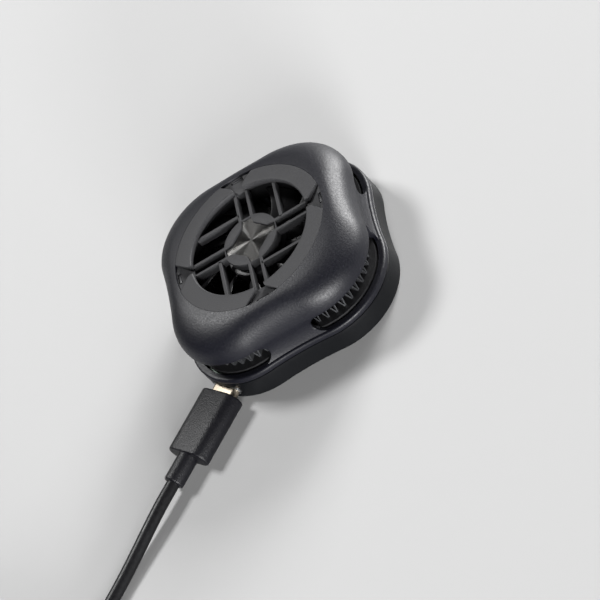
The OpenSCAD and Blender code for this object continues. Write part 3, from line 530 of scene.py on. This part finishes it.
# Shroud: a black moulded duct round the blades, whose flange closes the fins from above.
# It leads the air out through them.
dress(inner_black, "fan_shroud")

# Cover: one satin charcoal moulding. A narrow lip stands over the seam, a groove runs round above
# it, and a full dome rises from the lobed edge to the round seat of the face plate. Four slots in
# the groove let the air out.
seam_z, lip_z, edge_z, lip_round = 6.45, 8.1, 14.2, 0.6
edge_inset, groove_depth = 0.8, 1.9
crease_r, crease_z, seat_r, seat_z, ledge_r, grille_z = 21.85, 22.7, 21.82, 20.8, 19.95, 19.6
groove_rows, dome_rows, dome_wide, dome_full, dome_pace = 18, 26, 1.2, 0.75, 1.3
groove_full, waist_fade, lobe_soft, soft_passes, soft_rows = 0.8, 0.55, 0.25, 6, 5
under_r, skirt_inset = crease_r + 0.7, 1.8


def dome_at(a, t, top_r, top_z, inset):
    """Radius and height of the dome; at t = 0 it is the round crease, at t = 90 the lobed edge."""
    return (top_r + (reach_at(a, inset) - top_r) * math.sin(t) ** dome_wide,
            edge_z + (top_z - edge_z) * math.cos(t) ** dome_full)


def cover_profile(a):
    """Outer radius and height from the groove's foot to the crease, its lower edge rounded over."""
    line = []
    waist = (1 - math.cos(4 * a)) / 2
    deep = (groove_depth - edge_inset) * (1 - waist_fade * waist)
    for i in range(groove_rows + 1):
        f = i / groove_rows
        line.append((reach_at(a, edge_inset + deep * math.sin(math.pi * f) ** groove_full),
                     lip_z + (edge_z - lip_z) * f))
    for i in range(1, dome_rows + 1):
        t = math.acos((i / dome_rows) ** dome_pace) if i < dome_rows else 0
        line.append(dome_at(a, t, crease_r, crease_z, edge_inset))
    pts = np.array(line)
    sharp = pts.copy()
    lo, hi = groove_rows - soft_rows, groove_rows + soft_rows + 1
    for _ in range(soft_passes):
        pts[lo:hi] = (pts[lo - 1:hi - 1] + 2 * pts[lo:hi] + pts[lo + 1:hi + 1]) / 4
    return sharp + (pts - sharp) * (lobe_soft + (1 - lobe_soft) * waist)


profiles = {}


def profile(a):
    key = round(a, 6)
    if key not in profiles:
        profiles[key] = cover_profile(a)
    return profiles[key]


def cover_row(i):
    def ring(a):
        r, z = profile(a)[i]
        return (r * math.cos(a), r * math.sin(a), z)
    return ring


def cover_skin(a, z, depth):
    line = cover_profile(a)[:groove_rows + soft_rows + 1]
    r = float(np.interp(z, line[:, 1], line[:, 0])) - depth
    return (r * math.cos(a), r * math.sin(a), z)


def neck_inset(z):
    return float(np.interp(
        z, [lip_z, 8.5, 8.75, 11.15, edge_z], [skirt_inset, skirt_inset, 2.85, 2.9, 2.4]))


def neck_skin(a, z, depth):
    r = reach_at(a, neck_inset(z))
    return (r * math.cos(a), r * math.sin(a), z)


def dome_row(t):
    def ring(a):
        r, z = dome_at(a, t, under_r, crease_z - wall, edge_inset + wall)
        return (r * math.cos(a), r * math.sin(a), z)
    return ring


rings = [lobed(0.25, seam_z), lobed(0.06, seam_z + 0.08), lobed(0, seam_z + 0.25)]
rings += [lobed(lip_round * (1 - math.cos(t)), lip_z - lip_round * (1 - math.sin(t)))
          for t in (0, 0.3, 0.6, 0.9, 1.25)]
groove_start = len(rings)
rings += [cover_row(i) for i in range(groove_rows + dome_rows + 1)]
rings += [round_at(seat_r, crease_z - 0.05), round_at(seat_r, seat_z), round_at(ledge_r, seat_z),
          round_at(ledge_r, grille_z), round_at(under_r, grille_z)]
rings += [dome_row(math.radians(t)) for t in (0, 15, 30, 42, 54, 64, 74, 84)]
neck_start = len(rings)
neck_levels = [lip_z + (edge_z - lip_z) * i / groove_rows for i in range(groove_rows + 1)]
rings += [lobed(neck_inset(z), z) for z in reversed(neck_levels)]
rings += [lobed(skirt_inset, 7.2), lobed(skirt_inset, seam_z)]
cover_satin = finish("cover_satin", (0.0026, 0.0028, 0.0058), 0.48,
                     grain=0.5, bump=0.09, tone=0.15, shine=0.33)
bm = bmesh.new()
rows = closed_ring(bm, 360, rings)
slot_rows = rows[groove_start:groove_start + groove_rows + 1]
neck_rows = rows[neck_start:neck_start + groove_rows + 1][::-1]
slot_shift, slot_half, slot_r, slot_z, slot_rim = 2.9, 14.5, 2.9, 11.0, 0.25
for lobe in range(4):
    pierce(bm, slot_rows, neck_rows, lobe * math.pi / 2, slot_shift, slot_half, slot_r, slot_z,
           cover_skin, neck_skin, slot_rim)


def bar(bm, bearing, edge, stations):
    """A closed bar with rounded edges, led outwards at a bearing through stations, each with its
    distance from the axis, its two sides, its underside and its top."""
    c, s = math.cos(bearing), math.sin(bearing)

    def section(x, left, right, low, high):
        def ring(a):
            p, q = math.cos(a), math.sin(a)
            y = (left + right) / 2 + math.copysign((right - left) / 2 - edge, p) + edge * p
            z = (low + high) / 2 + math.copysign((high - low) / 2 - edge, q) + edge * q
            return (x * c - y * s, x * s + y * c, z)
        return ring

    capped(bm, 16, [section(*at) for at in stations])


arms = [math.radians(45 + 90 * k) for k in range(4)]
post_at, post_r, post_low, post_high = 23.6, 2.2, 8.5, 19.9
hook_in, hook_out, hook_half, hook_low, hook_high, hook_edge = 20.75, 21.25, 1.45, 20.2, 21.9, 0.1
for arm in arms:
    post_x, post_y = post_at * math.cos(arm), post_at * math.sin(arm)
    capped(bm, 32, [
        lambda a, z=z: (post_x + post_r * math.cos(a), post_y + post_r * math.sin(a), z)
        for z in (post_low, post_high)])
    bar(bm, arm, hook_edge, [
        (x, -hook_half, hook_half, hook_low, hook_high) for x in (hook_in, hook_out)])
weld(bm)
make("cover_dome", bm, "housing", "cover_plastic", cover_satin, "top_cover")

# Face plate: a fine matt moulding, set flush in the dome. Four arms of two rails each carry the hub
# to the ring, four single ribs lean on them, and four notches give room for the cover's hooks.
face_z, crown_drop, crown_in, crown_wide, plate_edge = 23.0, 0.33, 17.4, 4.4, 0.12
intake_r, thin_z, thin_out, ledge_row = 17, 21.75, 18.5, 9
grille_top, hub_r, rail_in, rail_out, rib_at, rib_t, bar_edge = 21.8, 7.8, 1.3, 2.1, 9.5, 0.9, 0.1
window_in, window_out, window_half = 20.6, 21.5, 1.75
ramp_low, ramp_rise, ramp_in, ramp_run, ramp_bend = 21.2, 1.2, 16.5, 6.25, 1.2
ramp_edge, ramp_lap, ramp_step, cheek_r, brim_r = 0.04, 0.3, 19.4, 21.72, 21.73
ring_r = [17, 17.05, 17.17, 17.35, 17.6, 18.0, 18.5, 19.0, 19.45,
          19.45, 20.0, 20.6, 21.1, 21.5, 21.75, 21.8]
brow = {17: 0.42, 17.05: 0.22, 17.17: 0.08, 17.35: 0.01, 21.8: 0.02}


def notch_half(x):
    return float(np.interp(x, [16, 18.2, 21.55, 22.75], [1.3, 1.5, 4.9, 4.9]))


def notch_turn(r, aside):
    """Turn from an arm's middle to a notch's side wall, or to a line that lies aside from it."""
    x = r
    for _ in range(4):
        x = math.sqrt(r * r - (notch_half(x) + aside) ** 2)
    return math.atan2(notch_half(x) + aside, x)


def ring_piece(arm, share, aside, drop, flat):
    """A section of the plate's ring, at a share of the way from one notch to the next. The section
    of an end wall closes on its own middle line."""
    def ring(a):
        i = int(a % (2 * math.pi) / (math.pi / len(ring_r)))
        upper = i >= len(ring_r)
        k = 2 * len(ring_r) - 1 - i if upper else i
        r = ring_r[k]
        top = face_z - crown_drop * (max(0, r - crown_in) / crown_wide) ** 2 - brow.get(r, 0) - drop
        low = seat_z
        if k < ledge_row:
            low = float(np.interp(r, [intake_r, thin_out], [thin_z, grille_z]))
        z = (top + low) / 2 if flat else top if upper else low
        side = notch_turn(r, aside)
        b = arm + side + share * (math.pi / 2 - 2 * side)
        return (r * math.cos(b), r * math.sin(b), z)
    return ring


def ramp_z(x):
    return ramp_low + ramp_rise * ((x - ramp_in) / ramp_run) ** ramp_bend


def ramp(x, left, right):
    return (x, left, right, grille_z if x < ramp_step else seat_z, ramp_z(x))


bm = bmesh.new()
corner = [(plate_edge * (1 - math.cos(t)), plate_edge * (1 - math.sin(t))) for t in (0, 0.52, 1.05)]
rail_x, rib_x = (7.2, 10, 13, 17.3), (1.7, 6, 10, 14.3)
notch_x = (17, 17.4, 17.8, 18.2, 18.6, 19, 19.39, ramp_step, 19.8, 20.2, window_in)
cheek_x = (window_in, 20.8, 21, 21.2, 21.35, window_out)
brim_x = (window_out, 21.56, 21.62, 21.66, 21.69)
arc_steps = 44
for arm in arms:
    arc = [ring_piece(arm, 0, 0, plate_edge, True)]
    arc += [ring_piece(arm, 0, aside, drop, False) for aside, drop in corner]
    arc += [ring_piece(arm, i / arc_steps, plate_edge, 0, False) for i in range(arc_steps + 1)]
    arc += [ring_piece(arm, 1, aside, drop, False) for aside, drop in reversed(corner)]
    arc += [ring_piece(arm, 1, 0, plate_edge, True)]
    loft(bm, 2 * len(ring_r), arc)
    for hand in (-1, 1):
        rail = sorted((hand * rail_in, hand * rail_out))
        bar(bm, arm, bar_edge, [(x, *rail, grille_z, grille_top) for x in rail_x])
        cheeks = [(x, min(notch_half(x) + ramp_lap, math.sqrt(cheek_r ** 2 - x * x))) for x in cheek_x]
        bar(bm, arm, ramp_edge, [
            ramp(x, *sorted((hand * window_half, hand * far))) for x, far in cheeks])
    bar(bm, arm + math.pi / 2, bar_edge, [
        (x, -rib_at - rib_t / 2, -rib_at + rib_t / 2, grille_z, grille_top) for x in rib_x])
    bar(bm, arm, ramp_edge, [
        ramp(x, -notch_half(x) - ramp_lap, notch_half(x) + ramp_lap) for x in notch_x])
    brims = [(x, math.sqrt(brim_r ** 2 - x * x)) for x in brim_x]
    bar(bm, arm, ramp_edge, [ramp(x, -far, far) for x, far in brims])
channel_end, channel_turn, hub_floor = 7.6, 0.165, 20.47
quarter = [(4.88, -2.4), (4.88, 2.4), (6.13, 4.3), (4.3, 6.13)]
star = [(x * c - y * t, x * t + y * c)
        for c, t in ((1, 0), (0, 1), (-1, 0), (0, -1)) for x, y in quarter]


def star_reach(a):
    """How far the four-pointed pocket for the badge stands from the hub's middle."""
    c, t = math.cos(a), math.sin(a)
    best = 1e9
    for (x0, y0), (x1, y1) in zip(star, star[1:] + star[:1]):
        cross = c * (y1 - y0) - t * (x1 - x0)
        if abs(cross) > 1e-9:
            far = (x0 * (y1 - y0) - y0 * (x1 - x0)) / cross
            share = (x0 * t - y0 * c) / cross
            if far > 0 and -1e-6 <= share <= 1 + 1e-6:
                best = min(best, far)
    return best


def star_ring(grow, trim, z):
    return lambda a: (
        (star_reach(a) * grow - trim) * math.cos(a), (star_reach(a) * grow - trim) * math.sin(a), z)


def petal_ring(trim, z):
    """The hub's outside, which is cut off square where a channel ends on it."""
    def ring(a):
        off = a - math.pi / 4 - math.pi / 2 * round((a - math.pi / 4) / (math.pi / 2))
        r = (channel_end / math.cos(off) if abs(off) < channel_turn else hub_r) - trim
        return (r * math.cos(a), r * math.sin(a), z)
    return ring


closed_ring(bm, 512, [
    petal_ring(0, grille_z), petal_ring(0, grille_top - 0.1), petal_ring(0.03, grille_top - 0.03),
    petal_ring(0.1, grille_top), star_ring(1, -0.06, grille_top),
    star_ring(1, -0.02, grille_top - 0.02), star_ring(1, 0, grille_top - 0.06),
    star_ring(1, 0, grille_z)])
capped(bm, 512, [star_ring(1, -0.05, grille_z), star_ring(1, -0.05, hub_floor)])
weld(bm)
face_matt = finish("face_matt", (0.032, 0.032, 0.034), 0.6,
                   grain=0.4, bump=0.07, tone=0.5, shine=0.22)
make("face_plate", bm, "housing", "face_plastic", face_matt, "grille_plate")

# Badge: a four-pointed plate of dark metal, spun so that fine rings round its middle spread the
# light into a bright bow tie. It is glued in the hub between the petals.
badge_low, badge_high, badge_gap, badge_break, spun_rows, pin = 20.5, 21.3, 0.08, 0.12, 24, 0.004
rings = [
    star_ring(pin, 0, badge_low), star_ring(1, badge_gap, badge_low),
    star_ring(1, badge_gap, badge_high - badge_break),
    star_ring(1, badge_gap + badge_break, badge_high)]
rings += [star_ring(1 - i / spun_rows, (badge_gap + badge_break) * (1 - i / spun_rows), badge_high)
          for i in range(1, spun_rows)]
rings += [star_ring(pin, 0, badge_high)]
bm = bmesh.new()
capped(bm, 256, rings)
polar = bm.loops.layers.uv.new("polar")
for face in bm.faces:
    mid = math.atan2(face.calc_center_median().y, face.calc_center_median().x)
    for loop in face.loops:
        x, y = loop.vert.co.x, loop.vert.co.y
        swing = (math.atan2(y, x) - mid + math.pi) % (2 * math.pi) - math.pi
        loop[polar].uv = (math.hypot(x, y) / (10 * mm), (mid + swing) / (2 * math.pi))
spun = finish("spun_metal", (0.072, 0.071, 0.069), 0.43, metal=1.0,
              grain=0.6, bump=0.002, tone=0.1, gloss=0.03)
ring_relief(spun, 1570, "TRI", 1, 0.13)
tree = spun.node_tree
tangent = tree.nodes.new("ShaderNodeTangent")
tangent.direction_type = "UV_MAP"
tangent.uv_map = "polar"
shade = tree.nodes["Principled BSDF"]
shade.inputs["Anisotropic"].default_value = 0.97
tree.links.new(tangent.outputs["Tangent"], shade.inputs["Tangent"])
make("badge_plate", bm, "housing", "spun_metal", spun, "hub_badge")

# Case screws: four, driven from below through the base into the cover's posts.
# Their heads lie hidden under the pad.
dress(zinc_plate, "case_screws")

# Floor and light: a plain pale sheet under five soft boxes, two of them low, which draw the long
# gleams on the dome, and a white room.
bm = bmesh.new()
bmesh.ops.create_grid(bm, x_segments=1, y_segments=1, size=4)
floor_mesh = bpy.data.meshes.new("floor")
bm.to_mesh(floor_mesh)
bm.free()
floor_mesh.transform(Matrix.Translation((0, 0, -0.0002)))
floor = bpy.data.objects.new("floor", floor_mesh)
bpy.context.scene.collection.objects.link(floor)
pale = finish("pale_sheet", (0.44, 0.44, 0.44), 0.8, grain=5.0, bump=0.0, tone=0.01)
floor_mesh.materials.append(pale)


def soft_box(name, way, distance, width, height, power):
    """An oblong lamp that looks at the cooler from the given way."""
    lamp = bpy.data.lights.new(name, "AREA")
    lamp.shape = "RECTANGLE"
    lamp.size, lamp.size_y, lamp.energy = width, height, power
    obj = bpy.data.objects.new(name, lamp)
    place = Vector(way).normalized() * distance
    look = place.to_track_quat("Z", "Y").to_matrix().to_4x4()
    obj.matrix_world = Matrix.Translation(place) @ look
    bpy.context.scene.collection.objects.link(obj)


soft_box("front_box", (0.82, -0.565, 0.1), 1.7, 0.5, 0.32, 54)
soft_box("front_top", (0.7, -0.6, 0.4), 1.7, 0.4, 0.4, 15)
soft_box("back_box", (0.05, 0.99, 0.1), 1.7, 0.55, 0.32, 34)
soft_box("high_box", (-0.17, 0.92, 0.35), 1.7, 0.55, 0.5, 37)
soft_box("left_box", (-0.61, 0.03, 0.79), 1.7, 0.4, 0.4, 25)
world = bpy.data.worlds.new("studio")
world.use_nodes = True
world.node_tree.nodes["Background"].inputs["Color"].default_value = (1, 1, 1, 1)
world.node_tree.nodes["Background"].inputs["Strength"].default_value = 0.03
bpy.context.scene.world = world
bpy.context.scene.view_settings.view_transform = "Standard"
